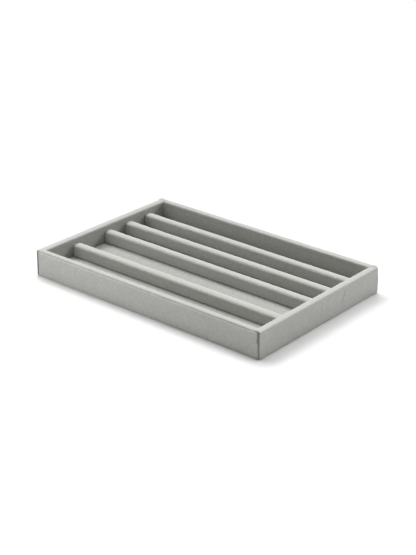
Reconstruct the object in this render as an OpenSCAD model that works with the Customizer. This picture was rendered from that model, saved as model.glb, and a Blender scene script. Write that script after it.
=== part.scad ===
// Velvet-covered jewelry tray with four fixed dividers and five channels.
// The origin is on the table under the middle of the tray: X to the right, Y to the back, Z up.

/* [Tray] */
// Length of the tray over its cover, left to right
tray_l = 300; // [220:5:400]
// Depth of the tray over its cover, front to back
tray_d = 202; // [180:2:300]
// Height of the rim above the table
tray_h = 29.2; // [26:0.1:50]

/* [Walls] */
// Thickness of the front and rear walls over their cover
side_wall_t = 7.4; // [6.4:0.1:12]
// Thickness of the left and right walls over their cover
end_wall_t = 8.9; // [8:0.1:14]
// Radius of the rounded rim
rim_r = 1.6; // [1.6:0.1:3]
// Radius of the four upright corners
corner_r = 1.6; // [1.6:0.1:6]

/* [Dividers] */
// Thickness of a divider over its cover
divider_t = 11.5; // [8:0.5:14]
// Radius of the two top edges of a divider
divider_r = 3.8; // [2:0.1:3.9]
// How far the dividers stop below the rim
divider_drop = 6.2; // [4:0.1:8]
// Clear width of each narrow channel behind the second divider
narrow_channel_w = 21.4; // [16:0.1:26]

/* [Base and lining] */
// Thickness of the base board
base_t = 4; // [3:0.5:5]
// Thickness of the card in the floor lining
card_t = 1.5; // [1:0.5:3]
// Width that the lining turns under its card
lining_turn_w = 8; // [4:1:20]
// Thickness of the backing sheet under the tray
backing_t = 0.6; // [0.4:0.1:1.5]
// Distance of the backing sheet from the outer faces
backing_inset = 5; // [3:0.5:9]
// Corner radius of the backing sheet
backing_r = 3; // [1:0.5:10]

/* [Cover] */
// Thickness of the velvet cover
cover_t = 1; // [0.6:0.1:1.4]
// Width that the cover turns under the base
cover_turn_w = 12; // [10:1:25]
// How far the end covers wrap round the corners on to the front and rear
lap_w = 1.6; // [1:0.1:4]
// Width that a divider's cover turns under its board
divider_turn_w = 2.5; // [1.5:0.5:3.5]
// How far the top edge of the front and rear panels lies below the rim
panel_drop = 1.7; // [1.6:0.1:8]
// Radius of the folded top edge of a panel
hem_r = 0.8; // [0.3:0.1:1]

/* [Joints] */
// Width of the rebate that holds the base board
base_rebate_w = 2.5; // [1.5:0.5:3]
// Depth of the rebate in an end board that takes a front or rear board
corner_rebate_w = 3.6; // [2:0.1:4.5]
// Thickness of the tongue on each end of a divider board
tongue_t = 4; // [3:0.5:5]
// Height of the tongue
tongue_h = 6; // [3:0.5:7]
// Depth of the housing that takes the tongue
housing_w = 3.6; // [2:0.1:4.5]

/* [Hidden] */

// Facets of the drawn rounds
$fn = 48;
// Overrun of every cut past the face that it opens
over = 1;
// Glue line between a cover and what it covers
glue_gap = 0.1;
// Clearance of the glued joints between boards
joint_gap = 0.1;
// Clearance of the lining and the dividers between the walls
lining_gap = 0.3;
// Width of the seam between two covers
seam_gap = 0.2;

// Colours of the velvet, the fibreboard, the card and the felt
velvet = "#b3b4af";
fibreboard = "#b6956c";
card = "#9a958a";
felt = "#4a4b4a";

// From an outer face of a cover to the board behind it
board_inset = cover_t + glue_gap;
// Room between the covered walls
inner_l = tray_l - 2 * end_wall_t;
inner_d = tray_d - 2 * side_wall_t;
// Half the room between the bare boards
board_face_x = inner_l / 2 + board_inset;
board_face_y = inner_d / 2 + board_inset;
// Heights of the layers, from the table up
frame_z = backing_t + board_inset;
leg_foot_z = frame_z + base_t + glue_gap;
card_z = leg_foot_z + board_inset;
floor_z = card_z + card_t + board_inset;
divider_top_z = tray_h - divider_drop;
panel_top_z = tray_h - panel_drop;
// Middle of the front and rear boards, which parts a panel from the cover over the rim
board_mid_y = (board_face_y + tray_d / 2 - board_inset) / 2;
// Divider board inside its cover
divider_board_t = divider_t - 2 * board_inset;
divider_board_z = floor_z + board_inset;
divider_l = inner_l - 2 * lining_gap;
// The two wide channels share what the dividers and the three narrow channels leave
wide_channel_w = (inner_d - 4 * divider_t - 3 * narrow_channel_w) / 2;
wide_pitch = wide_channel_w + divider_t;
narrow_pitch = narrow_channel_w + divider_t;
// Middle of each divider, front to back
divider_1_y = wide_pitch - divider_t / 2 - inner_d / 2;
divider_2_y = divider_1_y + wide_pitch;
divider_3_y = divider_2_y + narrow_pitch;
divider_4_y = divider_3_y + narrow_pitch;
divider_ys = [divider_1_y, divider_2_y, divider_3_y, divider_4_y];
// Corner seam on the outer face, and how often the way from it to the inner corner is repeated
seam_x = tray_l / 2 - lap_w;
mitre_run_share = max((cover_turn_w + over) / side_wall_t,
                      (cover_turn_w + over - lap_w) / (end_wall_t - lap_w));
mitre_x = seam_x - mitre_run_share * (end_wall_t - lap_w);
mitre_y = tray_d / 2 - mitre_run_share * side_wall_t;

// Rectangle with round corners, seen from above
module round_plan(l, d, r) {
    square([l - 2 * r, d], center = true);
    square([l, d - 2 * r], center = true);
    for (x = [r - l / 2, l / 2 - r], y = [r - d / 2, d / 2 - r])
        translate([x, y]) circle(r);
}

// Section of a block whose two top edges are rounded
module block_profile(w, low, top, r) {
    translate([-w / 2, low]) square([w, top - r - low]);
    translate([r - w / 2, low]) square([w - 2 * r, top - low]);
    for (x = [r - w / 2, w / 2 - r])
        translate([x, top - r]) circle(r);
}

// Section of the room between two walls whose inner top edges are rounded
module room_profile(w, low, top, r) {
    translate([-w / 2, low]) square([w, top + over - low]);
    difference() {
        translate([-w / 2 - r, top - r]) square([w + 2 * r, r + over]);
        for (x = [-w / 2 - r, w / 2 + r])
            translate([x, top - r]) circle(r);
    }
}

// Sweeps a section along X or along Y, centred
module along_x(length) {
    rotate([90, 0, 90]) linear_extrude(length, center = true) children();
}
module along_y(length) {
    rotate([90, 0, 0]) linear_extrude(length, center = true) children();
}

// Outside of the tray, moved in by an inset
module tray_outside(inset, low) {
    l = tray_l - 2 * inset;
    d = tray_d - 2 * inset;
    top = tray_h - inset;
    r = rim_r - inset;
    intersection() {
        translate([0, 0, low]) linear_extrude(top - low) round_plan(l, d, corner_r - inset);
        along_x(l + 2 * over) block_profile(d, low, top, r);
        along_y(d + 2 * over) block_profile(l, low, top, r);
    }
}

// Room inside the four walls, moved out by an inset
module tray_inside(inset, low) {
    l = inner_l + 2 * inset;
    d = inner_d + 2 * inset;
    top = tray_h - inset;
    r = rim_r - inset;
    intersection() {
        along_x(l + 2 * r + 2 * over) room_profile(d, low, top, r);
        along_y(d + 2 * r + 2 * over) room_profile(l, low, top, r);
    }
}

// Block between two heights, centred on the origin in plan
module slab(l, d, low, top) {
    translate([-l / 2, -d / 2, low]) cube([l, d, top - low]);
}

// Ring of the four bare walls with the rebate for the base
module wall_ring() {
    difference() {
        tray_outside(board_inset, frame_z);
        tray_inside(board_inset, frame_z - over);
        slab(2 * (board_face_x + base_rebate_w), 2 * (board_face_y + base_rebate_w),
             frame_z - over, frame_z + base_t + joint_gap);
    }
}

// Front board, its ends in the rebates of the end boards
module side_board() {
    color(fibreboard) intersection() {
        wall_ring();
        translate([0, -board_face_y, 0]) mirror([0, 1, 0])
            translate([-board_face_x - corner_rebate_w + joint_gap, 0, 0])
                cube([2 * (board_face_x + corner_rebate_w - joint_gap), side_wall_t, tray_h]);
    }
}

// Cuts for the divider tongues, from the inner face of the right wall outwards
module tongue_cuts(x_low, x_high) {
    for (y = divider_ys)
        translate([x_low, y - tongue_t / 2 - joint_gap, divider_board_z - joint_gap])
            cube([x_high - x_low, tongue_t + 2 * joint_gap, tongue_h + 2 * joint_gap]);
}

// Right board, with a rebate at each end and a housing for each divider
module end_board() {
    color(fibreboard) difference() {
        intersection() {
            wall_ring();
            translate([board_face_x, -tray_d / 2, 0]) cube([end_wall_t, tray_d, tray_h]);
        }
        for (side = [-1, 1])
            scale([1, side, 1])
                translate([board_face_x - over, board_face_y - joint_gap, 0])
                    cube([corner_rebate_w + over, side_wall_t, tray_h]);
        tongue_cuts(board_face_x - over, board_face_x + housing_w);
    }
}

// Base board, let into the rebate under the four walls
module base_board() {
    color(fibreboard)
        slab(2 * (board_face_x + base_rebate_w - joint_gap), 2 * (board_face_y + base_rebate_w - joint_gap),
             frame_z, frame_z + base_t);
}

// Divider board with rounded top edges and a tongue at each end
module divider_board(y) {
    tongue_l = 2 * (board_face_x + housing_w - joint_gap);
    color(fibreboard) translate([0, y, 0]) {
        along_x(divider_l) block_profile(divider_board_t, divider_board_z, divider_top_z - board_inset,
                                         divider_r - board_inset);
        slab(tongue_l, tongue_t, divider_board_z, divider_board_z + tongue_h);
    }
}

// Velvet wrapped over a divider board and turned under it
module divider_cover(y) {
    opening_w = divider_t - 2 * cover_t - 2 * divider_turn_w;
    color(velvet) translate([0, y, 0]) along_x(divider_l) difference() {
        block_profile(divider_t, floor_z, divider_top_z, divider_r);
        block_profile(divider_t - 2 * cover_t, floor_z + cover_t, divider_top_z - cover_t,
                      divider_r - cover_t);
        translate([-opening_w / 2, floor_z - over]) square([opening_w, cover_t + 2 * over]);
    }
}

// Card that stiffens the floor lining
module lining_card() {
    room = 2 * (lining_gap + board_inset);
    color(card) slab(inner_l - room, inner_d - room, card_z, card_z + card_t);
}

// Velvet over the card, turned under its edges
module lining_cover() {
    l = inner_l - 2 * lining_gap;
    d = inner_d - 2 * lining_gap;
    color(velvet) difference() {
        slab(l, d, leg_foot_z, floor_z);
        slab(l - 2 * cover_t, d - 2 * cover_t, leg_foot_z + cover_t, floor_z - cover_t);
        slab(l - 2 * (cover_t + lining_turn_w), d - 2 * (cover_t + lining_turn_w),
             leg_foot_z - over, leg_foot_z + cover_t + over);
    }
}

// Felt sheet that closes the underside and rests on the table
module backing_sheet() {
    color(felt) linear_extrude(backing_t)
        round_plan(tray_l - 2 * backing_inset, tray_d - 2 * backing_inset, backing_r);
}

// Velvet over all four walls: outer face, rounded rim, inner face and the margin under the base
module cover_ring() {
    difference() {
        tray_outside(0, backing_t);
        tray_inside(0, leg_foot_z);
        difference() {
            tray_outside(cover_t, backing_t + cover_t);
            tray_inside(cover_t, leg_foot_z);
        }
        slab(tray_l - 2 * cover_turn_w, tray_d - 2 * cover_turn_w, backing_t - over, backing_t + cover_t + over);
    }
}

// Velvet of the front wall between the corner seams, mitred over the rim and under the base
module side_wrap() {
    x = seam_x - seam_gap / 2;
    run_x = mitre_x - seam_gap / 2;
    low_y = -tray_d / 2 - over;
    intersection() {
        cover_ring();
        linear_extrude(tray_h + over)
            polygon([[-x, low_y], [x, low_y], [x, -tray_d / 2],
                     [run_x, -mitre_y], [-run_x, -mitre_y], [-x, -tray_d / 2]]);
    }
}

// Space outside the middle of the front board and under the base, up to a height
module panel_space(top) {
    translate([-tray_l / 2, -tray_d / 2 - over, 0]) {
        cube([tray_l, tray_d / 2 + over - board_mid_y, top]);
        cube([tray_l, cover_turn_w + 2 * over, frame_z]);
    }
}

// Cover of the front rim and the inner face, from the panel's top edge to the base board
module side_cover() {
    color(velvet) difference() {
        side_wrap();
        panel_space(panel_top_z + seam_gap);
    }
}

// Panel of the outer front face, turned under the base, with a rounded fold along its top edge
module side_panel() {
    color(velvet) difference() {
        intersection() {
            side_wrap();
            panel_space(panel_top_z);
        }
        translate([0, hem_r - tray_d / 2, panel_top_z - hem_r]) along_x(tray_l) difference() {
            translate([-hem_r - over, 0]) square(hem_r + over);
            circle(hem_r);
        }
    }
}

// Right cover, wrapped round both corners and slotted for the divider tongues
module end_cover() {
    x = seam_x + seam_gap / 2;
    run_x = mitre_x + seam_gap / 2;
    high_x = tray_l / 2 + over;
    high_y = tray_d / 2 + over;
    color(velvet) difference() {
        intersection() {
            cover_ring();
            linear_extrude(tray_h + over)
                polygon([[x, -high_y], [high_x, -high_y], [high_x, high_y], [x, high_y],
                         [x, tray_d / 2], [run_x, mitre_y], [run_x, -mitre_y], [x, -tray_d / 2]]);
        }
        tongue_cuts(inner_l / 2 - over, inner_l / 2 + board_inset);
    }
}

side_board();  // front_board
mirror([0, 1, 0]) side_board();  // rear_board
mirror([1, 0, 0]) end_board();  // left_board
end_board();  // right_board
base_board();
divider_board(divider_1_y);  // divider_board_1
divider_board(divider_2_y);  // divider_board_2
divider_board(divider_3_y);  // divider_board_3
divider_board(divider_4_y);  // divider_board_4
lining_card();
backing_sheet();
side_cover();  // front_cover
mirror([0, 1, 0]) side_cover();  // rear_cover
mirror([1, 0, 0]) end_cover();  // left_cover
end_cover();  // right_cover
side_panel();  // front_panel
mirror([0, 1, 0]) side_panel();  // rear_panel
lining_cover();
divider_cover(divider_1_y);  // divider_cover_1
divider_cover(divider_2_y);  // divider_cover_2
divider_cover(divider_3_y);  // divider_cover_3
divider_cover(divider_4_y);  // divider_cover_4
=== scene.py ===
"""Looks of a velvet-covered jewelry tray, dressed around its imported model."""

import logging
import math
from dataclasses import dataclass, field
from enum import Enum
from functools import partial
from typing import Callable, NamedTuple

import bmesh
import bpy
from mathutils import Matrix, Vector, noise
from mathutils.geometry import intersect_point_line


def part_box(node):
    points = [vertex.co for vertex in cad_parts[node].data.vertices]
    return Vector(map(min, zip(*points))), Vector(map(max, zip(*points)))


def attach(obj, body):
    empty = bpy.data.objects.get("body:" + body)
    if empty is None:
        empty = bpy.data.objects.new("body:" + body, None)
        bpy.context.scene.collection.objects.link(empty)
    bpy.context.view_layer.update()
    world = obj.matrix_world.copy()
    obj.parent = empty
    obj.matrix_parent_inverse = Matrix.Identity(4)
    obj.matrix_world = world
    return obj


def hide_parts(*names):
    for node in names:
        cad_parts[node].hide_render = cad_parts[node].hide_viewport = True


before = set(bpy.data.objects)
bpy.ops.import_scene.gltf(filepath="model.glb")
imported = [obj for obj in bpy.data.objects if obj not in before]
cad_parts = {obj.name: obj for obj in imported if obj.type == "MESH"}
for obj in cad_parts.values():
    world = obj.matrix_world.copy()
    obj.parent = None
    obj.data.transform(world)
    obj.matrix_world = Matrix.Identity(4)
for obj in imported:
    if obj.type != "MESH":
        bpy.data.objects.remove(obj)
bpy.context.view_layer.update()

log = logging.getLogger("jewelry_tray")

# Metres in a millimetre
MM = 0.001
ROOT = "root"
# Attributes of the cloth that hold its painted shade, laid where it is turned in or dented, and
# its painted highlight, laid on bends facing upwards and the rear left lamps and on bent hems
PAINTED_SHADE = "fold"
PAINTED_HIGHLIGHT = "painted_highlight_share"
# Heights of the seam at the front right corner and how wide it gapes there, in millimetres, with a
# nick at two thirds
FRAYED_SEAM = ((2, 0.8), (7, 1.2), (12, 1.5), (16.5, 2.0), (18, 3.8), (19.5, 2.8), (27, 2.9))


class LongWall(Enum):
    """The two long walls, by the side of the origin that they stand on."""

    FRONT = -1
    REAR = 1


class EndWall(Enum):
    """The two end walls, by the side of the origin that they stand on."""

    LEFT = -1
    RIGHT = 1


class Held(Enum):
    """How a cloth is held on what carries it."""

    STRETCHED = "stretched"
    LAID = "laid"


class Spot(NamedTuple):
    """A point of a cloth as it is drawn, by its share of the length, its depth inwards and its height."""

    share: float
    depth: float
    height: float


# Reads something off a cloth at a spot
Measure = Callable[[Spot], float]


def linear(hex_colour: str) -> tuple[float, float, float, float]:
    """Turns an sRGB hex colour to linear light.

    Args:
        hex_colour: The colour as six hex digits, with or without a hash sign.

    Returns:
        Red, green, blue and an alpha of one.
    """
    digits = hex_colour.lstrip("#")
    shares = [int(digits[i:i + 2], 16) / 255 for i in (0, 2, 4)]
    red, green, blue = [s / 12.92 if s <= 0.04045 else ((s + 0.055) / 1.055) ** 2.4 for s in shares]
    return red, green, blue, 1.0


class Shading:
    """A new material, drawn from its grain up to its shader."""

    def __init__(self, name: str) -> None:
        """Makes the material with nothing but its shader.

        Args:
            name: The material's name.
        """
        self.material = bpy.data.materials.new(name)
        self.material.use_nodes = True
        self.tree = self.material.node_tree
        self.shader = self.tree.nodes["Principled BSDF"]

    def add(self, kind: str, sockets: dict[str | int, object], **settings: object) -> bpy.types.Node:
        """Adds a node with its settings, its constant sockets and its links.

        Args:
            kind: Blender's name of the node's type.
            sockets: For an input's name or number, a constant or the output that feeds it.
            settings: The node's own properties.

        Returns:
            The new node.
        """
        node = self.tree.nodes.new(kind)
        for name, value in settings.items():
            setattr(node, name, value)
        for key, value in sockets.items():
            if isinstance(value, bpy.types.NodeSocket):
                self.tree.links.new(value, node.inputs[key])
            else:
                node.inputs[key].default_value = value
        return node

    def grain(self, span: float, detail: float, roughness: float) -> bpy.types.NodeSocket:
        """Draws noise that stays in its place on a piece.

        Args:
            span: Size of its lumps, in metres.
            detail: Number of finer layers in it.
            roughness: How strong each of them is beside the one before.

        Returns:
            The noise, from nought to one.
        """
        place = self.add("ShaderNodeTexCoord", {}).outputs["Object"]
        sockets = {"Vector": place, "Scale": 1 / span, "Detail": detail, "Roughness": roughness}
        return self.add("ShaderNodeTexNoise", sockets).outputs["Fac"]

    def spread(self, value: bpy.types.NodeSocket, middle: float, reach: float) -> bpy.types.NodeSocket:
        """Spreads the values within a reach of the middle over nought to one."""
        sockets = {"Value": value, "From Min": middle - reach, "From Max": middle + reach}
        return self.add("ShaderNodeMapRange", sockets).outputs[0]

    def mixed(self, share: bpy.types.NodeSocket, first: object, second: str) -> bpy.types.NodeSocket:
        """Mixes a colour, or an output that gives one, with a share of a second one in hex digits."""
        sockets = {0: share, 6: first, 7: linear(second)}
        return self.add("ShaderNodeMix", sockets, data_type="RGBA").outputs[2]

    def marked(self, attribute: str) -> bpy.types.NodeSocket:
        """Reads an attribute of the piece's points."""
        return self.add("ShaderNodeAttribute", {}, attribute_name=attribute).outputs["Fac"]

    def cover(self, colour: bpy.types.NodeSocket, height: bpy.types.NodeSocket, **bump: float) -> None:
        """Leads a colour and a bump to the shader.

        Args:
            colour: The output that gives the colour.
            height: The output that raises the bump.
            bump: The bump's distance and strength.
        """
        raised = self.add("ShaderNodeBump", {"Height": height, **bump})
        self.tree.links.new(colour, self.shader.inputs["Base Color"])
        self.tree.links.new(raised.outputs["Normal"], self.shader.inputs["Normal"])

    def finish(self, constants: dict[str, object]) -> bpy.types.Material:
        """Sets constants of the shader.

        Args:
            constants: For an input's name, its value.

        Returns:
            The finished material.
        """
        for name, value in constants.items():
            self.shader.inputs[name].default_value = value
        return self.material


def add_object(name: str, data: bpy.types.ID) -> bpy.types.Object:
    """Adds an object to the scene.

    Args:
        name: The object's name.
        data: Its mesh, light or camera.

    Returns:
        The object.
    """
    added = bpy.data.objects.new(name, data)
    bpy.context.scene.collection.objects.link(added)
    return added


def add_mesh(name: str, mesh: bmesh.types.BMesh, finish: bpy.types.Material) -> bpy.types.Object:
    """Adds an object with a mesh to the scene.

    Args:
        name: The object's name.
        mesh: Its mesh, which is freed.
        finish: Its material.

    Returns:
        The object.
    """
    data = bpy.data.meshes.new(name)
    mesh.to_mesh(data)
    mesh.free()
    data.materials.append(finish)
    return add_object(name, data)


def level_grid(half_x: float, half_y: float, height: float, columns: int, rows: int) -> bmesh.types.BMesh:
    """Lays out a level grid round the origin.

    Args:
        half_x: Half its length.
        half_y: Half its depth.
        height: Its height above the table.
        columns: Number of faces along its length.
        rows: Number of faces along its depth.

    Returns:
        The grid.
    """
    mesh = bmesh.new()
    place = Matrix.Translation((0, 0, height)) @ Matrix.Diagonal((half_x, half_y, 1, 1))
    bmesh.ops.create_grid(mesh, x_segments=columns, y_segments=rows, size=1, matrix=place)
    return mesh


def face_outwards(mesh: bmesh.types.BMesh) -> None:
    """Turns a cloth's faces outwards, which is upwards for the highest of them.

    Args:
        mesh: The cloth.
    """
    bmesh.ops.recalc_face_normals(mesh, faces=mesh.faces[:])
    mesh.normal_update()
    highest = max(mesh.faces, key=lambda face: face.calc_center_median().z)
    if highest.normal.z < 0:
        bmesh.ops.reverse_faces(mesh, faces=mesh.faces[:])


def direction(azimuth: float, elevation: float) -> Vector:
    """Points from the tray to a lamp or a camera, by degrees from the front to the right and upwards."""
    turn, rise = math.radians(azimuth), math.radians(elevation)
    return Vector((math.sin(turn) * math.cos(rise), -math.cos(turn) * math.cos(rise), math.sin(rise)))


def between(value: float, stops: tuple[tuple[float, float], ...]) -> float:
    """Reads a line of straight stretches, held level before its first stop and run on past its last.

    Args:
        value: The place to read at.
        stops: Places and the values there, in rising order.

    Returns:
        The line's value at that place.
    """
    if value <= stops[0][0]:
        return stops[0][1]
    for (start, low), (end, high) in zip(stops, stops[1:]):
        if value <= end or (end, high) == stops[-1]:
            return low + (high - low) * (value - start) / (end - start)
    return stops[-1][1]


def eased(value: float, start: float = 0, end: float = 1) -> float:
    """Rises softly from nought at a start to one at an end."""
    share = min(max((value - start) / (end - start), 0), 1)
    return share * share * (3 - 2 * share)


def crowded(share: float, crowding: float = 0.42) -> float:
    """Moves a row, at a share from minus one to one along a strip, closer to the strip's end."""
    return share * (1 + crowding - crowding * share * share)


def quarter_drop(gap: float, radius: float) -> float:
    """How far a rounded edge has dropped under the flat at a gap from the edge."""
    run = min(max(radius - gap, 0.0), radius)
    return radius - math.sqrt(radius * radius - run * run)


@dataclass(frozen=True)
class Corner:
    """One upright corner, where an end wall's cloth wraps round the edge to a seam with the panel.

    The lap is how far the wrap runs on along the long wall's face, and is less than nought where it
    stops on the round edge itself. The gape gives heights and how wide the seam gapes there, in
    millimetres.
    """

    radius: float
    lap: float
    gape: tuple[tuple[float, float], ...] = ((0, 0.2), (30, 0.3))
    # How far the seam strays from its line, and over what length
    wander: float = 0.25 * MM
    wander_span: float = 4 * MM
    # How far the cloth is drawn up at the corner's foot, and how wide and how high that reaches
    foot_drawn: float = 0
    foot_width: float = 2.6 * MM
    foot_height: float = 7 * MM

    def strayed(self, height: float) -> float:
        """How far the seam strays from its line at a height."""
        return self.wander * noise.noise(Vector((self.radius, self.lap, height)) / self.wander_span)

    def drawn_up(self, away: float, height: float) -> float:
        """How far the cloth is drawn up at a distance from the corner and a height."""
        near = math.exp(-((away / self.foot_width) ** 2))
        return self.foot_drawn * near * (1 - eased(height, 0, self.foot_height))


@dataclass(frozen=True)
class TraySizes:
    """Sizes of the tray in metres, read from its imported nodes.

    The outer sizes are half the length and half the depth over the cloth, the inner ones those of
    the room between the covered walls.
    """

    outer_x: float
    outer_y: float
    top_z: float
    foot_z: float
    inner_x: float
    inner_y: float
    inner_foot_z: float
    panel_top_z: float
    margin: float
    corners: dict[tuple[EndWall, LongWall], Corner]
    rim_r: float = 1.4 * MM
    inner_rim_r: float = 1.8 * MM
    bottom_r: float = 0.8 * MM
    cloth: float = 0.7 * MM
    # Least reach of the fan of sections in a corner, in radii of the rim
    fan_share: float = 1.6

    @classmethod
    def from_frame(cls) -> "TraySizes":
        """Reads the sizes from the boxes of the nodes.

        Returns:
            The sizes.
        """
        end_low, end_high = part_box("right_cover")
        board_low, board_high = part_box("right_board")
        panel_low, panel_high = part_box("front_panel")
        skin = end_high.x - board_high.x
        return cls(
            outer_x=end_high.x,
            outer_y=end_high.y,
            top_z=end_high.z,
            foot_z=end_low.z,
            inner_x=board_low.x - skin,
            inner_y=-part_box("front_board")[1].y - skin,
            inner_foot_z=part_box("front_cover")[0].z,
            panel_top_z=panel_high.z,
            margin=panel_high.y - panel_low.y,
            corners={
                (EndWall.LEFT, LongWall.FRONT): Corner(
                    radius=1.1 * MM, lap=0.3 * MM, gape=((0, 1.3), (30, 1.6)), foot_drawn=0.5 * MM
                ),
                (EndWall.RIGHT, LongWall.FRONT): Corner(
                    radius=1.0 * MM, lap=0, gape=FRAYED_SEAM, foot_drawn=0.9 * MM
                ),
                (EndWall.LEFT, LongWall.REAR): Corner(radius=1.6 * MM, lap=0.4 * MM),
                (EndWall.RIGHT, LongWall.REAR): Corner(radius=2.0 * MM, lap=0.6 * MM),
            },
        )

    def seam_travel(self, corner: Corner, height: float) -> float:
        """Length of the way from the middle of an end wall round a corner to the seam, at a height."""
        return self.outer_y + corner.radius * (math.pi / 2 - 1) + corner.lap + corner.strayed(height)

    def outline(self, corner: Corner, travel: float, sunk: float = 0) -> Vector:
        """Follows the outer outline from the middle of an end wall round a corner.

        Args:
            corner: The corner that the way leads round.
            travel: Length of the way.
            sunk: How far the place lies inside the outline.

        Returns:
            The place reached, in the quadrant of plus X and plus Y.
        """
        straight = self.outer_y - corner.radius
        turn = min(max(travel - straight, 0) / corner.radius, math.pi / 2)
        lap = max(travel - straight - corner.radius * math.pi / 2, 0)
        radius = corner.radius - sunk
        x = self.outer_x - corner.radius + radius * math.cos(turn) - lap
        y = min(travel, straight) + radius * math.sin(turn)
        return Vector((x, y))

    def drawn_up(self, corner: Corner, plan: Vector, height: float) -> float:
        """How far the cloth is drawn up at a place that is seen from above, and a height."""
        return corner.drawn_up((plan - Vector((self.outer_x, self.outer_y))).length, height)

    def across(self, corner: Corner, outer: Vector, inner: Vector, depth: float, wall: float) -> Vector:
        """Finds a place on a wall's section between the outer outline and the room.

        Close to the outline, the place is drawn in towards a point inside the corner, so that the
        upright edge stays round up to the rim. Further in, it makes for the inner edge.

        Args:
            corner: The corner that is nearest.
            outer: Where the section starts, on the outer outline.
            inner: Where it ends, on the inner outline, both in the quadrant of plus X and plus Y.
            depth: Depth of the place under the outer face.
            wall: Thickness of the wall.

        Returns:
            The place, seen from above.
        """
        fan = max(corner.radius, self.fan_share * self.rim_r)
        share = min(depth, self.rim_r) / fan
        past_x = max(outer.x - self.outer_x + fan, 0)
        past_y = max(outer.y - self.outer_y + fan, 0)
        near = Vector((outer.x - share * past_x, outer.y - share * past_y))
        share_in = (depth - self.rim_r) / (wall - self.inner_rim_r - self.rim_r)
        return near.lerp(inner, min(max(share_in, 0), 1))


class Section:
    """Outline of a cloth, drawn from point to point, with its depth inwards on X and its height on Z."""

    # Edges of each round of a crowned top, and of the dome between them
    ROUND_PIECES = 7
    DOME_PIECES = 6

    def __init__(self, depth: float, height: float) -> None:
        """Starts the outline at a point."""
        self.mesh = bmesh.new()
        self.end = self.mesh.verts.new((depth, 0, height))

    def line(self, depth: float, height: float, pieces: int = 1) -> "Section":
        """Draws a straight stretch to a depth and a height, in a number of pieces."""
        step = (Vector((depth, 0, height)) - self.end.co) / pieces
        return self._turn(dvec=step, angle=0, steps=pieces)

    def arc(self, depth: float, height: float, degrees: float, pieces: int) -> "Section":
        """Draws an arc round a centre, which goes from the outer side over the top to the inner side."""
        return self._turn(cent=(depth, 0, height), angle=math.radians(degrees), steps=pieces)

    def crowned_top(
        self, near: float, far: float, top: float, radii: tuple[float, float], crown: float
    ) -> "Section":
        """Draws a slightly domed top between two upright faces, with a round at each edge.

        Args:
            near: Depth of the first face.
            far: Depth of the second face.
            top: Height of the highest point.
            radii: Radius at the first and at the second edge.
            crown: Slope of the dome at its two sides, in degrees.

        Returns:
            The section itself.
        """
        slope = math.radians(crown)
        r_near, r_far = radii
        middle = (near + far + r_near - r_far + (r_far - r_near) * math.sin(slope)) / 2
        dome_r = (middle - near - r_near) / math.sin(slope) + r_near
        dome_z = top - dome_r
        near_z = dome_z + (dome_r - r_near) * math.cos(slope)
        far_z = dome_z + (dome_r - r_far) * math.cos(slope)
        self.line(near, near_z)
        self.arc(near + r_near, near_z, 90 - crown, self.ROUND_PIECES)
        self.arc(middle, dome_z, 2 * crown, self.DOME_PIECES)
        return self.arc(far - r_far, far_z, 90 - crown, self.ROUND_PIECES)

    def width(self) -> float:
        """Length along the outline, which is the width that the cloth is cut to."""
        return sum(edge.calc_length() for edge in self.mesh.edges)

    def sweep(self, rows: int) -> bmesh.types.BMesh:
        """Sweeps the outline along Y, from minus one to one.

        Args:
            rows: Number of rows of faces.

        Returns:
            The swept mesh.
        """
        bmesh.ops.translate(self.mesh, verts=self.mesh.verts[:], vec=(0, -1, 0))
        outline = self.mesh.verts[:] + self.mesh.edges[:]
        self._spin(outline, dvec=Vector((0, 2 / rows, 0)), angle=0, steps=rows)
        return self.mesh

    def _turn(self, **motion: object) -> "Section":
        """Carries the outline's end on by a motion and keeps the new end.

        Args:
            motion: How the end is spun or shifted.

        Returns:
            The section itself.
        """
        last = self._spin([self.end], **motion)
        self.end = next(part for part in last if isinstance(part, bmesh.types.BMVert))
        return self

    def _spin(
        self, geometry: list, cent: tuple = (0, 0, 0), dvec: Vector = Vector(), **motion: object
    ) -> list:
        """Spins geometry about Y, or shifts it.

        Args:
            geometry: The points and edges that are carried on.
            cent: Centre of the spin.
            dvec: Shift of each step.
            motion: The angle and the number of steps.

        Returns:
            What the last step made.
        """
        made = bmesh.ops.spin(
            self.mesh, geom=geometry, cent=cent, axis=(0, 1, 0), dvec=dvec, use_duplicate=False, **motion
        )
        return made["geom_last"]


@dataclass(frozen=True)
class Crease:
    """A dent or a ridge that the cloth has along a line of points, all in millimetres."""

    points: tuple[tuple[float, float, float], ...]
    width: float
    lift: float

    def lift_at(self, place: Vector) -> float:
        """Reads the crease at a place.

        Args:
            place: A point on the cloth.

        Returns:
            How far the crease lifts the cloth there.
        """
        spot = place / MM
        stretches = zip(self.points, self.points[1:])
        nearest = min(self._distance(spot, Vector(start), Vector(end)) for start, end in stretches)
        return self.lift * MM * math.exp(-((nearest / self.width) ** 2))

    @staticmethod
    def _distance(place: Vector, start: Vector, end: Vector) -> float:
        """Measures how far a place is from a straight stretch.

        Args:
            place: The place.
            start: One end of the stretch.
            end: Its other end.

        Returns:
            The distance from the place to the nearest point of the stretch.
        """
        nearest, share = intersect_point_line(place, start, end)
        held = start if share < 0 else end if share > 1 else nearest
        return (place - held).length


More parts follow.
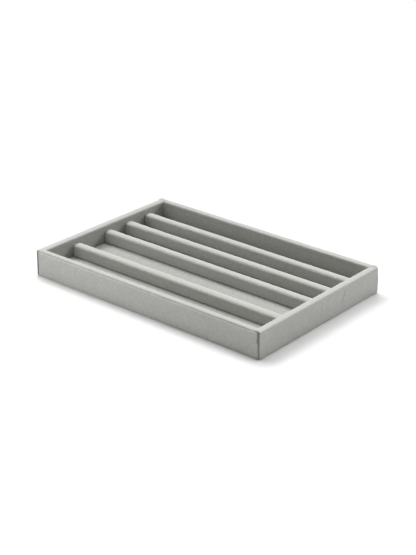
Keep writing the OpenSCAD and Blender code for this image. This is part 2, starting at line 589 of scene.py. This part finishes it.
@dataclass(frozen=True)
class Slack:
    """Uneven lie of the glued cloth: long soft waves, short puckers and single creases."""

    creases: tuple[Crease, ...] = ()
    wave: float = 0.14 * MM
    wave_span: float = 26 * MM
    pucker: float = 0.05 * MM
    pucker_span: float = 5 * MM
    # Puckers on the rounds, where the cloth is neither level nor upright
    edge_pucker: float = 0.26 * MM
    edge_pucker_span: float = 3.4 * MM
    # Depth of a dent that gets the full painted shade, as if wholly turned in
    fully_shaded_dent: float = 0.8 * MM
    # Strength of the painted highlight on bends facing upwards and the rear left key lamps, and the
    # way to those lamps
    highlight_strength: float = 1.0
    towards_key_lamps: tuple[float, float, float] = (-0.62, 0.78, 0)
    # Lean towards those lamps and tilt upwards, of the way that the cloth faces, where the painted
    # highlight starts and where it is full
    lean_range: tuple[float, float] = (-0.35, 0.45)
    tilt_range: tuple[float, float] = (0.15, 0.55)

    def lift_at(self, place: Vector, normal: Vector) -> float:
        """Reads the waves and puckers at a place.

        Args:
            place: A point on the cloth.
            normal: The way that the cloth faces there.

        Returns:
            How far the cloth stands proud of its drawn shape there.
        """
        edge = 4 * normal.z * normal.z * (1 - normal.z * normal.z)
        lift = self.wave * noise.noise(place / self.wave_span)
        lift += self.pucker * noise.noise(place / self.pucker_span)
        return lift + self.edge_pucker * edge * noise.noise(place / self.edge_pucker_span)

    def loosen(self, mesh: bmesh.types.BMesh) -> None:
        """Moves every point of a mesh along its normal, paints shade into its dents and paints highlight on
        its bends that face the key lamps.

        Args:
            mesh: The cloth, with its faces outwards.
        """
        mesh.normal_update()
        shade_paints = mesh.verts.layers.float.get(PAINTED_SHADE) or mesh.verts.layers.float.new(PAINTED_SHADE)
        highlight_paints = mesh.verts.layers.float.new(PAINTED_HIGHLIGHT)
        for vert in mesh.verts:
            creased = sum(crease.lift_at(vert.co) for crease in self.creases)
            # Painted highlight on lamp-facing bends, and on bent edges that are marked below nought
            vert[highlight_paints] = max(self._highlight_paint(vert.normal), -vert[shade_paints])
            # Painted shade in the dents
            vert[shade_paints] = max(vert[shade_paints], min(-creased / self.fully_shaded_dent, 1))
            vert.co += vert.normal * (creased + self.lift_at(vert.co, vert.normal))

    def _highlight_paint(self, normal: Vector) -> float:
        """Painted highlight where the cloth faces a way: most on bends facing upwards and the rear left
        lamps.
        """
        lean = normal.dot(Vector(self.towards_key_lamps))
        return self.highlight_strength * eased(lean, *self.lean_range) * eased(normal.z, *self.tilt_range)


@dataclass(frozen=True)
class Velvet:
    """Short-pile cotton velvet, woven, dyed grey and brushed down flat.

    The pile scatters light like a matt surface, with a pale sheen where it is seen from the side. It
    shows a fine grain of pile tufts and soft patches where the pile lies another way.
    """

    name: str = "grey_short_pile_velvet"
    pale: str = "#c2c3be"
    deep: str = "#acada8"
    # Painted highlight: a paler colour laid on bends facing upwards and the rear left lamps, and on
    # the panels' bent top edges, standing in for the light that they catch
    highlight_paint: str = "#d8d8d5"
    # Painted shade: a darker colour laid in seams, tucks, dents and at the dividers' feet, where the
    # cloth is turned in and shade falls
    shade_paint: str = "#868782"
    sheen: str = "#ffffff"
    sheen_weight: float = 0.55
    sheen_roughness: float = 0.35
    # Real tufts are about 0.3 mm apart, too fine for the render, so the grain is drawn at 1 mm
    tuft_span: float = 1.0 * MM
    patch_span: float = 2.7 * MM
    # Strength of the patches beside that of the tufts
    patch_share: float = 0.45
    # How far from its middle the grain takes the palest and the deepest colour
    grain_reach: float = 0.17
    tuft_height: float = 0.06 * MM

    def material(self) -> bpy.types.Material:
        """Builds the finish.

        Returns:
            The material.
        """
        shading = Shading(self.name)
        tufts = shading.grain(self.tuft_span, detail=3, roughness=0.6)
        patches = shading.grain(self.patch_span, detail=4, roughness=0.55)
        sockets = {0: patches, 1: self.patch_share, 2: tufts}
        both = shading.add("ShaderNodeMath", sockets, operation="MULTIPLY_ADD").outputs[0]
        shade = shading.spread(both, (1 + self.patch_share) / 2, self.grain_reach)
        colour = shading.mixed(shade, linear(self.deep), self.pale)
        # Painted highlight on bends that face the lamps
        colour = shading.mixed(shading.marked(PAINTED_HIGHLIGHT), colour, self.highlight_paint)
        # Painted shade where the cloth is turned in or dented
        colour = shading.mixed(shading.marked(PAINTED_SHADE), colour, self.shade_paint)
        shading.cover(colour, tufts, Distance=self.tuft_height, Strength=0.6)
        return shading.finish(
            {
                "Roughness": 0.95,
                "Specular IOR Level": 0.12,
                "Sheen Weight": self.sheen_weight,
                "Sheen Roughness": self.sheen_roughness,
                "Sheen Tint": linear(self.sheen),
            }
        )


@dataclass(frozen=True)
class Speckled:
    """A matt sheet material with a fine speckle, such as fibreboard, card or felt."""

    name: str
    pale: str
    deep: str
    grain_span: float
    grain_height: float
    roughness: float = 0.9

    def material(self) -> bpy.types.Material:
        """Builds the finish.

        Returns:
            The material.
        """
        shading = Shading(self.name)
        grain = shading.grain(self.grain_span, detail=5, roughness=0.65)
        shade = shading.spread(grain, middle=0.5, reach=0.15)
        colour = shading.mixed(shade, linear(self.deep), self.pale)
        shading.cover(colour, grain, Distance=self.grain_height, Strength=0.5)
        return shading.finish({"Roughness": self.roughness, "Specular IOR Level": 0.2})


@dataclass
class Cloth:
    """One piece of cloth: its names, what it is cut to and how it is held."""

    name: str
    node: str
    slot: str
    finish: bpy.types.Material
    flat: tuple[float, float]
    thickness: float
    rests_on: str
    held: Held = Held.STRETCHED

    def lay(self, mesh: bmesh.types.BMesh) -> None:
        """Turns the mesh into a finished object that rides with the tray.

        Args:
            mesh: The outer side of the cloth, with its faces outwards. It is freed.
        """
        for edge in mesh.edges:
            edge.smooth = not edge.is_boundary
        for face in mesh.faces:
            face.smooth = True
        piece = add_mesh(self.name, mesh, self.finish)
        if self.thickness:
            wall = piece.modifiers.new("cloth_thickness", "SOLIDIFY")
            wall.thickness = self.thickness
            wall.offset = -1
        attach(piece, ROOT)
        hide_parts(self.node)
        log.info("%s: cut %.0f x %.0f mm", self.name, self.flat[0] / MM, self.flat[1] / MM)


@dataclass
class VelvetWrap:
    """Velvet that is swept from its section, moved to where it lies, and glued to a board."""

    sizes: TraySizes
    finish: bpy.types.Material
    slack: Slack

    def _wrap(
        self,
        mesh: bmesh.types.BMesh,
        names: tuple[str, str, str],
        flat: tuple[float, float],
        place: Callable[[Spot], Vector],
        fold: Measure,
    ) -> None:
        """Turns a swept mesh to a piece of cloth.

        Args:
            mesh: The mesh, with depth on X, the share of the length on Y and the height on Z.
            names: Names of the piece, of the node that it replaces and of the board under it.
            flat: What the piece is cut to.
            place: Tells where a spot lies on the tray.
            fold: Tells how much painted shade the cloth gets at a spot, from nought to one where it is
                turned in, and less than nought for a painted highlight where a bend opens its pile.
        """
        # Each spot's painted shade, with its painted highlight held below nought
        shade_paints = mesh.verts.layers.float.new(PAINTED_SHADE)
        for vert in mesh.verts:
            depth, share, height = vert.co
            spot = Spot(share, depth, height)
            vert[shade_paints] = fold(spot)
            vert.co = place(spot)
        face_outwards(mesh)
        self.slack.loosen(mesh)
        name, node, board = names
        Cloth(name, node, "velvet", self.finish, flat, self.sizes.cloth, board).lay(mesh)


@dataclass
class LongWallVelvet(VelvetWrap):
    """Velvet of a long wall: the cloth over its rim and inner face, and the panel on its outer face.

    The panel's top edge is turned under, which leaves a thin groove below the rim, and its two ends
    are rolled in at the corner seams.
    """

    wall: LongWall
    # Places along the wall, and how far the panel's folded edge rises there, in millimetres
    hem_rise: tuple[tuple[float, float], ...] = ((0, 0), (1, 0))
    rows: int = 260
    crown: float = 5.0
    # How far the cloth hangs under the base at its outer edge, and how wide that rim is
    sag: float = 0.4 * MM
    sag_width: float = 1.6 * MM
    # The rim cloth stands back behind the thick fold of the panel, and runs on down behind it
    rim_recess: float = 0.4 * MM
    rim_edge_r: float = 1.2 * MM
    rim_edge_low: float = 0.4 * MM
    tuck_depth: float = 0.85 * MM
    tuck_drop: float = 1.4 * MM
    # Heights over which it is rolled in at the seams and shaded where it goes down behind the panel
    tuck_roll: float = 0.6 * MM
    tuck_shade: float = 0.4 * MM
    hem_r: float = 0.45 * MM
    # Height of the panel's turned-under edge that gets a painted highlight, and how strong it is
    hem_highlight_h: float = 1.1 * MM
    hem_highlight: float = 0.7
    # How far the panel swells towards its folded edge, and from which depths below it on
    hem_lift: float = 0.12 * MM
    hem_start: float = 3 * MM
    hem_full: float = 1.5 * MM
    # How far the turned-under edge strays from its line, over what length, and how far below it the
    # cloth still follows
    hem_wander: float = 0.2 * MM
    hem_wander_span: float = 6 * MM
    hem_reach: float = 4 * MM
    roll_r: float = 0.5 * MM
    seam_depth: float = 0.72 * MM
    # How much deeper the seam's floor lies for each metre towards the end wall's cloth
    seam_slope: float = 0.08

    def build(self) -> None:
        """Builds the wall's two pieces of cloth."""
        self._dress(("rim", "cover"), self._rim_section(), self._rim_sunk, self._rim_shade_paint)
        self._dress(("panel", "panel"), self._panel_section(), self._sunk, self._panel_shade_and_highlight)

    def _rim_section(self) -> Section:
        """Draws the cloth from under the panel's fold, over the rim and down the inner face.

        Returns:
            The section.
        """
        sizes = self.sizes
        wall = sizes.outer_y - sizes.inner_y
        section = Section(self.tuck_depth, sizes.panel_top_z - self.tuck_drop)
        section.line(self.tuck_depth, sizes.panel_top_z - self.rim_edge_low, pieces=2)
        section.line(self.rim_recess, sizes.panel_top_z, pieces=2)
        radii = (self.rim_edge_r, sizes.inner_rim_r)
        section.crowned_top(self.rim_recess, wall, sizes.top_z, radii, self.crown)
        return section.line(wall, sizes.inner_foot_z, pieces=12)

    def _panel_section(self) -> Section:
        """Draws the panel from its margin under the base up the outer face to its turned-under edge.

        Returns:
            The section.
        """
        sizes = self.sizes
        bottom_r = sizes.bottom_r
        fold_z = sizes.panel_top_z - self.hem_r
        section = Section(sizes.margin, sizes.foot_z)
        section.line(bottom_r + self.sag_width, sizes.foot_z, pieces=3)
        section.line(bottom_r, sizes.foot_z - self.sag, pieces=3)
        section.arc(bottom_r, sizes.foot_z - self.sag + bottom_r, 90, pieces=5)
        section.line(0, sizes.panel_top_z - self.hem_start, pieces=16)
        section.line(-self.hem_lift, sizes.panel_top_z - self.hem_full, pieces=3)
        section.line(-self.hem_lift, fold_z, pieces=2)
        return section.arc(self.hem_r - self.hem_lift, fold_z, 140, pieces=9)

    def _corner(self, share: float) -> Corner:
        """The corner at the end of the wall that a place is nearer to."""
        return self.sizes.corners[EndWall.RIGHT if share > 0 else EndWall.LEFT, self.wall]

    def _sunk(self, spot: Spot) -> float:
        """Tells how far the end of the cloth is rolled in at a corner seam.

        Args:
            spot: A spot of the wall's cloth.

        Returns:
            The depth under the face that it would have without the seam.
        """
        if spot.depth > self.sizes.rim_r:
            return 0
        corner = self._corner(spot.share)
        gape = between(spot.height / MM, corner.gape) * MM
        gape += corner.strayed(spot.height + corner.wander_span) / 2
        gap = self._reach(corner, spot.height) * (1 - abs(crowded(spot.share))) - gape
        rolled = quarter_drop(gap, self.roll_r) / self.roll_r
        return self.seam_depth * rolled + self.seam_slope * max(-gap, 0)

    def _rim_sunk(self, spot: Spot) -> float:
        """How far the end of the rim cloth is rolled in: it stays out above the panel's edge."""
        tucked = eased(self.sizes.panel_top_z - spot.height, 0, self.tuck_roll)
        return tucked * self._sunk(spot) if tucked else 0

    def _rim_shade_paint(self, spot: Spot) -> float:
        """Tells how much painted shade the rim cloth gets where it is turned in, at its seams and where it
        goes down behind the panel.

        Args:
            spot: A spot of the rim cloth.

        Returns:
            A share from nought to one.
        """
        seam = min(self._rim_sunk(spot) / self.seam_depth, 1)
        above = spot.height - self.sizes.panel_top_z
        tucked = 1 - eased(above, 0, self.tuck_shade) if spot.depth < self.sizes.rim_r else 0
        return max(seam, tucked)

    def _panel_shade_and_highlight(self, spot: Spot) -> float:
        """Tells how much painted shade the panel gets where it is turned in at its seams, and how much
        painted highlight on its turned-under edge.

        Args:
            spot: A spot of the panel.

        Returns:
            A share of painted shade up to one, which is less than nought for the painted highlight on the
            panel's bent edge.
        """
        seam = min(self._sunk(spot) / self.seam_depth, 1)
        below = self.sizes.panel_top_z - spot.height
        highlighted = 1 - eased(below, self.hem_highlight_h / 2, self.hem_highlight_h)
        # Painted shade at the seams, less the painted highlight on the bent edge
        return seam - self.hem_highlight * highlighted * (1 - seam)

    def _reach(self, corner: Corner, height: float) -> float:
        """How far along the wall its cloth reaches to a seam."""
        return self.sizes.outline(corner, self.sizes.seam_travel(corner, height)).x

    def _place(self, spot: Spot, sunk: Measure) -> Vector:
        """Finds where a spot lies on the wall.

        Args:
            spot: A spot of the wall's cloth.
            sunk: Tells how far it is rolled in there.

        Returns:
            The place on the tray.
        """
        sizes = self.sizes
        wall = sizes.outer_y - sizes.inner_y
        corner = self._corner(spot.share)
        row = crowded(spot.share)
        x = abs(row) * self._reach(corner, spot.height)
        round_x = max(x - sizes.outer_x + corner.radius, 0)
        face_y = sizes.outer_y - quarter_drop(corner.radius - round_x, corner.radius)
        far = max(spot.depth, wall - sizes.inner_rim_r)
        inner = Vector((abs(row) * (sizes.inner_x + wall - far), sizes.outer_y - far))
        plan = sizes.across(corner, Vector((x, face_y)), inner, spot.depth, wall)
        plan.y -= sunk(spot)
        x = math.copysign(plan.x, row)
        rise = sizes.drawn_up(corner, plan, spot.height) + self._risen(x, spot)
        return Vector((x, self.wall.value * plan.y, spot.height + rise))

    def _risen(self, x: float, spot: Spot) -> float:
        """Tells how far the panel's turned-under edge, and what lies close to it, rises.

        Args:
            x: The place along the wall.
            spot: The spot that lies there.

        Returns:
            The rise, which is nought away from the edge.
        """
        if spot.depth > self.sizes.rim_r:
            return 0
        rise = between(x / MM, self.hem_rise) * MM
        rise += self.hem_wander * noise.noise(Vector((x, self.wall.value, 0)) / self.hem_wander_span)
        hem_z = self.sizes.panel_top_z
        stops = ((hem_z - self.hem_reach, 0), (hem_z, 1), (self.sizes.top_z, 0))
        return rise * between(spot.height, stops)

    def _dress(self, parts: tuple[str, str], section: Section, sunk: Measure, fold: Measure) -> None:
        """Sweeps a section along the wall into a piece of cloth.

        Args:
            parts: The part's name in that of the piece and in that of its node.
            section: The outline of the cloth.
            sunk: Tells how far the cloth is rolled in at a spot.
            fold: Tells how much painted shade it gets at a spot, where it is turned in.
        """
        side = self.wall.name.lower()
        names = (f"{side}_{parts[0]}_velvet", f"{side}_{parts[1]}", f"{side}_board")
        flat = (section.width(), 2 * self.sizes.outer_x)
        place = partial(self._place, sunk=sunk)
        self._wrap(section.sweep(self.rows), names, flat, place, fold)


@dataclass
class EndWallVelvet(VelvetWrap):
    """Velvet of an end wall, wrapped round both upright corners and mitred over the rim."""

    wall: EndWall
    rows: int = 340
    crown: float = 5.0
    foot_r: float = 0.5 * MM
    # Where the flat of the outer face ends below the round of the rim
    face_end: float = 0.5 * MM
    roll_r: float = 0.5 * MM
    # Depths below the top between which the rolled ends come out again
    roll_fade: tuple[float, float] = (1.2 * MM, 0.2 * MM)

    def build(self) -> None:
        """Builds the wall's cloth."""
        side = self.wall.name.lower()
        section = self._section()
        flat = (section.width(), 2 * self.sizes.outer_y)
        names = (f"{side}_end_velvet", f"{side}_cover", f"{side}_board")
        self._wrap(section.sweep(self.rows), names, flat, self._place, self._shade_paint)

    def _section(self) -> Section:
        """Draws the cloth from its margin under the base, over the rim and down the inner face.

        Returns:
            The section.
        """
        sizes = self.sizes
        wall = sizes.outer_x - sizes.inner_x
        section = Section(sizes.margin, sizes.foot_z).line(self.foot_r, sizes.foot_z, pieces=5)
        section.arc(self.foot_r, sizes.foot_z + self.foot_r, 90, pieces=5)
        section.line(0, sizes.top_z - sizes.rim_r - self.face_end, pieces=20)
        section.crowned_top(0, wall, sizes.top_z, (sizes.rim_r, sizes.inner_rim_r), self.crown)
        return section.line(wall, sizes.inner_foot_z, pieces=12)

    def _corner(self, share: float) -> Corner:
        """The corner at the end of the wall that a place is nearer to."""
        return self.sizes.corners[self.wall, LongWall.REAR if share > 0 else LongWall.FRONT]

    def _whole(self, spot: Spot) -> float:
        """Length of the way from the middle of the wall to the seam, at a spot's height."""
        return self.sizes.seam_travel(self._corner(spot.share), spot.height)

    def _sunk(self, spot: Spot) -> float:
        """Tells how far the end of the cloth is rolled in at a corner seam.

        Args:
            spot: A spot of the cloth.

        Returns:
            The depth under the face that it would have without the seam.
        """
        if spot.depth > self.sizes.rim_r:
            return 0
        start, end = (self.sizes.top_z - below for below in self.roll_fade)
        rolled = quarter_drop(self._whole(spot) * (1 - abs(crowded(spot.share))), self.roll_r)
        return (1 - eased(spot.height, start, end)) * rolled

    def _shade_paint(self, spot: Spot) -> float:
        """Painted shade of the cloth where it is turned in at its seams."""
        return self._sunk(spot) / self.roll_r

    def _place(self, spot: Spot) -> Vector:
        """Finds where a spot lies, which is round the corners near the outer face.

        Args:
            spot: A spot of the cloth.

        Returns:
            The place on the tray.
        """
        sizes = self.sizes
        wall = sizes.outer_x - sizes.inner_x
        corner = self._corner(spot.share)
        row = crowded(spot.share)
        outer = sizes.outline(corner, abs(row) * self._whole(spot), self._sunk(spot))
        far = max(spot.depth, wall - sizes.inner_rim_r)
        inner = Vector((sizes.outer_x - far, abs(row) * (sizes.inner_y + wall - far)))
        plan = sizes.across(corner, outer, inner, spot.depth, wall)
        rise = sizes.drawn_up(corner, plan, spot.height)
        return Vector((self.wall.value * plan.x, math.copysign(plan.y, row), spot.height + rise))


@dataclass
class DividerVelvet(VelvetWrap):
    """Velvet sleeve of one divider, with a round top and closed, rounded ends."""

    number: int
    rows: int = 150
    crown: float = 8.0
    front_r: float = 2.5 * MM
    rear_r: float = 3.1 * MM
    foot_r: float = 0.8 * MM
    end_r: float = 0.7 * MM
    # How much of the end's round shows in its height
    end_drop: float = 0.2
    # Points closer than this are one where the section closes
    weld: float = 0.001 * MM

    def __post_init__(self) -> None:
        """Reads the sleeve's size from its node."""
        self.low, self.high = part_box(f"divider_cover_{self.number}")
        self.width = self.high.y - self.low.y

    def build(self) -> None:
        """Builds the sleeve."""
        section = self._section()
        flat = (section.width(), self.high.x - self.low.x)
        mesh = section.sweep(self.rows)
        bmesh.ops.remove_doubles(mesh, verts=mesh.verts[:], dist=self.weld)
        bmesh.ops.holes_fill(mesh, edges=[edge for edge in mesh.edges if edge.is_boundary], sides=0)
        number = self.number
        names = (f"divider_{number}_velvet", f"divider_cover_{number}", f"divider_board_{number}")
        self._wrap(mesh, names, flat, self._place, self._shade_paint)

    def _section(self) -> Section:
        """Draws the closed outline of the sleeve, from the front of its foot over the top.

        Returns:
            The section.
        """
        round_z = self.low.z + self.foot_r
        section = Section(self.foot_r, self.low.z).arc(self.foot_r, round_z, 90, pieces=4)
        section.line(0, self.low.z + self.rear_r, pieces=6)
        section.crowned_top(0, self.width, self.high.z, (self.front_r, self.rear_r), self.crown)
        section.line(self.width, round_z, pieces=10)
        section.arc(self.width - self.foot_r, round_z, 90, pieces=4)
        return section.line(self.foot_r, self.low.z, pieces=5)

    def _shade_paint(self, spot: Spot) -> float:
        """Painted shade of the sleeve where it is turned in, which it is at its foot."""
        return 1 - eased(spot.height - self.low.z, 0, 2 * self.foot_r)

    def _place(self, spot: Spot) -> Vector:
        """Finds where a spot lies on the divider, whose two ends are drawn in.

        Args:
            spot: A spot of the sleeve.

        Returns:
            The place on the tray.
        """
        x = crowded(spot.share) * self.high.x
        drop = quarter_drop(self.high.x - abs(x), self.end_r)
        middle = self.width / 2
        y = self.low.y + middle + (spot.depth - middle) * (1 - drop / middle)
        sunk = 1 - self.end_drop * drop / (self.high.z - self.low.z)
        return Vector((x, y, self.low.z + (spot.height - self.low.z) * sunk))


@dataclass
class FloorLining:
    """Velvet over the card that lies on the base, turned down and under at its four edges."""

    finish: bpy.types.Material
    slack: Slack
    grid_span: float = 3 * MM
    edge_r: float = 0.8 * MM
    turn_under: float = 8 * MM
    cloth: float = 0.7 * MM

    def build(self) -> None:
        """Builds the lining."""
        low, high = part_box("lining_cover")
        half_x, half_y = high.x - self.edge_r, high.y - self.edge_r
        columns, rows = (round(2 * half / self.grid_span) for half in (half_x, half_y))
        mesh = level_grid(half_x, half_y, high.z, columns, rows)
        for degrees in (30, 60, 90):
            turn = math.radians(degrees)
            drop = self.edge_r * (1 - math.cos(turn))
            self._hoop(mesh, high, self.edge_r * (1 - math.sin(turn)), high.z - drop)
        self._hoop(mesh, high, 0, low.z)
        self._hoop(mesh, high, self.turn_under, low.z)
        face_outwards(mesh)
        self.slack.loosen(mesh)
        wrap = 2 * (self.turn_under + high.z - low.z)
        flat = (high.x - low.x + wrap, high.y - low.y + wrap)
        Cloth(
            "floor_velvet", "lining_cover", "lining_velvet", self.finish, flat, self.cloth, "lining_card"
        ).lay(mesh)

    @staticmethod
    def _hoop(mesh: bmesh.types.BMesh, outline: Vector, inset: float, height: float) -> None:
        """Extrudes the mesh's edge to a rectangle.

        Args:
            mesh: The lining as far as it is made.
            outline: The corner of the lining's outline.
            inset: How far the rectangle lies inside the outline.
            height: Height of the rectangle.
        """
        edge = [edge for edge in mesh.edges if edge.is_boundary]
        made = bmesh.ops.extrude_edge_only(mesh, edges=edge)["geom"]
        verts = [part for part in made if isinstance(part, bmesh.types.BMVert)]
        reach_x = max(vert.co.x for vert in verts)
        reach_y = max(vert.co.y for vert in verts)
        for vert in verts:
            vert.co.x *= (outline.x - inset) / reach_x
            vert.co.y *= (outline.y - inset) / reach_y
            vert.co.z = height


@dataclass
class FeltBacking:
    """Thin felt sheet glued under the base, with round corners and a soft cut edge."""

    finish: bpy.types.Material
    corner_r: float = 3 * MM
    edge_r: float = 0.15 * MM

    def build(self) -> None:
        """Builds the sheet."""
        low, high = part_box("backing_sheet")
        mesh = level_grid(high.x, high.y, low.z, columns=1, rows=1)
        rounding = {"offset_type": "OFFSET", "profile": 0.5, "material": -1}
        bmesh.ops.bevel(
            mesh, geom=mesh.verts[:], affect="VERTICES", offset=self.corner_r, segments=8, **rounding
        )
        made = bmesh.ops.extrude_face_region(mesh, geom=mesh.faces[:])["geom"]
        top = [part for part in made if isinstance(part, bmesh.types.BMVert)]
        bmesh.ops.translate(mesh, verts=top, vec=(0, 0, high.z - low.z))
        bmesh.ops.recalc_face_normals(mesh, faces=mesh.faces[:])
        rims = [edge for edge in mesh.edges if abs(edge.verts[0].co.z - edge.verts[1].co.z) < self.edge_r]
        bmesh.ops.bevel(mesh, geom=rims, affect="EDGES", offset=self.edge_r, segments=2, **rounding)
        bmesh.ops.triangulate(mesh, faces=[face for face in mesh.faces if len(face.verts) > 4])
        flat = (high.x - low.x, high.y - low.y)
        Cloth(
            "backing_felt", "backing_sheet", "felt", self.finish, flat, 0, "base_board", Held.LAID
        ).lay(mesh)


@dataclass
class HiddenBoards:
    """The boards and the card inside the cloth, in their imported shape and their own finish."""

    fibreboard: bpy.types.Material
    card: bpy.types.Material

    def dress(self) -> None:
        """Gives each board and the card its material."""
        for name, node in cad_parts.items():
            finish = self.card if name.endswith("_card") else self.fibreboard
            if finish is self.card or "_board" in name:
                node.data.materials.clear()
                node.data.materials.append(finish)
                log.info("%s: %s", name, finish.name)


@dataclass(frozen=True)
class Lamp:
    """A distant studio lamp.

    The power is the light on a surface that faces the lamp, and the softness is how wide the lamp
    looks from the tray, in degrees.
    """

    name: str
    azimuth: float
    elevation: float
    power: float
    softness: float

    def build(self) -> None:
        """Adds the lamp to the scene."""
        self._hang("SUN", 0).angle = math.radians(self.softness)

    def _hang(self, kind: str, distance: float) -> bpy.types.Light:
        """Hangs a light in the lamp's direction, facing the tray.

        Args:
            kind: Blender's name of the light's type.
            distance: How far from the tray it hangs.

        Returns:
            The light.
        """
        light = bpy.data.lights.new(self.name, kind)
        light.energy = self.power
        lamp = add_object(self.name, light)
        towards = direction(self.azimuth, self.elevation)
        lamp.location = distance * towards
        lamp.rotation_euler = towards.to_track_quat("Z", "Y").to_euler()
        return light


@dataclass(frozen=True)
class SoftBox(Lamp):
    """A square lamp close to the tray, with its power in watts and its side, in metres, as softness."""

    distance: float = 0.45

    def build(self) -> None:
        """Adds the lamp to the scene."""
        light = self._hang("AREA", self.distance)
        light.shape = "SQUARE"
        light.size = self.softness


@dataclass
class Studio:
    """Pale table, white surroundings, broad lamps above and behind the tray, and low ones for its edges."""

    table_half: float = 6.0
    table_colour: str = "#f8f8f8"
    lamps: tuple[Lamp, ...] = (
        Lamp("top_light", 180, 75, 1.06, 24),
        Lamp("rear_key", 225, 55, 0.92, 24),
        Lamp("left_key", 270, 55, 0.80, 24),
        Lamp("broad_left", 250, 60, 0.52, 40),
        Lamp("broad_low_left", 258, 35, 0.41, 40),
        Lamp("low_rear_rim", 170, 16, 0.50, 6),
        Lamp("low_right_key", 125, 19, 0.44, 4),
        SoftBox("front_fill", 338, 20, 0.48, 0.3),
        SoftBox("right_fill", 115, 20, 0.19, 0.3),
    )

    def build(self) -> None:
        """Builds the table, the white round it and the lamps."""
        self._table()
        self._room()
        for lamp in self.lamps:
            lamp.build()

    def _table(self) -> None:
        """Lays the table's top under the tray."""
        mesh = level_grid(self.table_half, self.table_half, height=0, columns=4, rows=4)
        paper = Shading("white_paper_sweep").finish(
            {"Base Color": linear(self.table_colour), "Roughness": 1.0, "Specular IOR Level": 0.0}
        )
        add_mesh("table_top", mesh, paper)

    def _room(self) -> None:
        """Shows white past the table's edge, which sheds no light on the tray."""
        world = bpy.data.worlds.new("white_room")
        world.use_nodes = True
        tree = world.node_tree
        background = tree.nodes["Background"]
        seen = tree.nodes.new("ShaderNodeLightPath").outputs["Is Camera Ray"]
        tree.links.new(seen, background.inputs["Strength"])
        background.inputs["Color"].default_value = linear("#ffffff")
        bpy.context.scene.world = world


@dataclass
class PhotoCamera:
    """Camera at the photograph's viewing angle, with its focal length for a 416 x 555 frame."""

    azimuth: float = 39.216
    elevation: float = 24.350
    roll: float = 0.781
    distance: float = 1.4945
    aim_right: float = 2.50 * MM
    aim_up: float = 6.56 * MM
    lens: float = 91.66

    def build(self) -> None:
        """Places the camera and makes it the scene's."""
        data = bpy.data.cameras.new("photo_camera")
        data.lens = self.lens
        data.sensor_width = 36
        data.clip_start = 0.05
        data.clip_end = 50
        camera = add_object("photo_camera", data)
        level = direction(self.azimuth, self.elevation).to_track_quat("Z", "Y").to_matrix().to_4x4()
        place = Matrix.Translation((self.aim_right, self.aim_up, self.distance))
        camera.matrix_world = level @ place @ Matrix.Rotation(math.radians(self.roll), 4, "Z")
        bpy.context.scene.camera = camera


@dataclass
class JewelryTray:
    """The whole tray, from the hidden boards to the cloth on them."""

    sizes: TraySizes
    velvet: bpy.types.Material = field(default_factory=lambda: Velvet().material())
    dividers: int = 4
    # Creases at three corners, where they run on over the seams
    front_left: tuple[Crease, ...] = (
        Crease(((-149, -101, 27.3), (-146, -101, 27)), 0.5, -0.25),
        Crease(((-148.9, -101, 27.9), (-148.9, -101, 27)), 0.8, -1.0),
    )
    rear_left: tuple[Crease, ...] = (
        Crease(((-141, 93.4, 29.2), (-144.6, 101, 29.4)), 0.6, -0.5),
        Crease(((-149.6, 97, 29.6), (-146.4, 101.2, 29.8)), 2.4, 1.0),
    )
    rear_right: tuple[Crease, ...] = (
        Crease(((144.6, 98.6, 30), (146.2, 99, 30)), 2.2, 1.6),
        Crease(((150.2, 101.2, 30), (150.2, 101.2, 28)), 1.7, -0.8),
        Crease(((149.9, 100.9, 16), (149.9, 100.9, 3)), 4, 0.7),
    )
    # Creases of a single wall
    front: tuple[Crease, ...] = (
        Crease(((-144.8, -101, 26), (-144.8, -101, 4)), 0.9, 0.12),
        Crease(
            ((144.1, -100.6, 28.7), (145.6, -100.6, 28.7), (147.4, -100.6, 28.3), (149.4, -100.8, 27.4)),
            0.6,
            -0.85,
        ),
    )
    rear: tuple[Crease, ...] = (Crease(((-143, 101, 29.2), (141, 101, 29.2)), 2, 0.75),)
    right: tuple[Crease, ...] = (
        Crease(((150, 0.5, 26), (150, 0, 8)), 0.9, 0.36),
        Crease(((150, 39.2, 24), (150, 37.5, 19), (150, 33.7, 11)), 1.1, -0.27),
        Crease(((150, 28, 22), (150, 27, 10)), 1.2, 0.2),
        Crease(((150, 52, 25), (150, 51, 12)), 1.3, 0.2),
        Crease(((150, -8, 20), (150, -9, 9)), 1.4, 0.14),
    )
    # The front panel's top edge climbs a little towards the right corner
    hem_rise: tuple[tuple[float, float], ...] = ((134, 0), (140, 0.5), (151, 0.5))

    def build(self) -> None:
        """Builds the tray's pieces, from the base up."""
        fibreboard = Speckled("raw_fibreboard", "#bd9d75", "#a98760", 1.2 * MM, 0.08 * MM)
        card = Speckled("grey_card", "#a29d92", "#938e83", 0.8 * MM, 0.03 * MM)
        felt = Speckled("dark_pressed_felt", "#525352", "#3f403f", 0.7 * MM, 0.12 * MM, 1.0)
        HiddenBoards(fibreboard.material(), card.material()).dress()
        FeltBacking(felt.material()).build()
        FloorLining(self.velvet, Slack(highlight_strength=0)).build()
        for number in range(1, self.dividers + 1):
            DividerVelvet(self.sizes, self.velvet, Slack(), number).build()
        front = Slack(self.front + self.front_left)
        LongWallVelvet(self.sizes, self.velvet, front, LongWall.FRONT, self.hem_rise).build()
        rear = Slack(self.rear_right + self.rear_left + self.rear)
        LongWallVelvet(self.sizes, self.velvet, rear, LongWall.REAR).build()
        left = Slack(self.rear_left + self.front_left)
        EndWallVelvet(self.sizes, self.velvet, left, EndWall.LEFT).build()
        right = Slack(self.right + self.rear_right)
        EndWallVelvet(self.sizes, self.velvet, right, EndWall.RIGHT).build()


def main() -> None:
    """Builds the studio, the camera and the tray."""
    logging.basicConfig(level=logging.INFO, format="%(name)s %(message)s")
    bpy.context.scene.view_settings.view_transform = "Standard"
    PhotoCamera().build()
    Studio().build()
    JewelryTray(TraySizes.from_frame()).build()


if __name__ == "__main__":
    main()
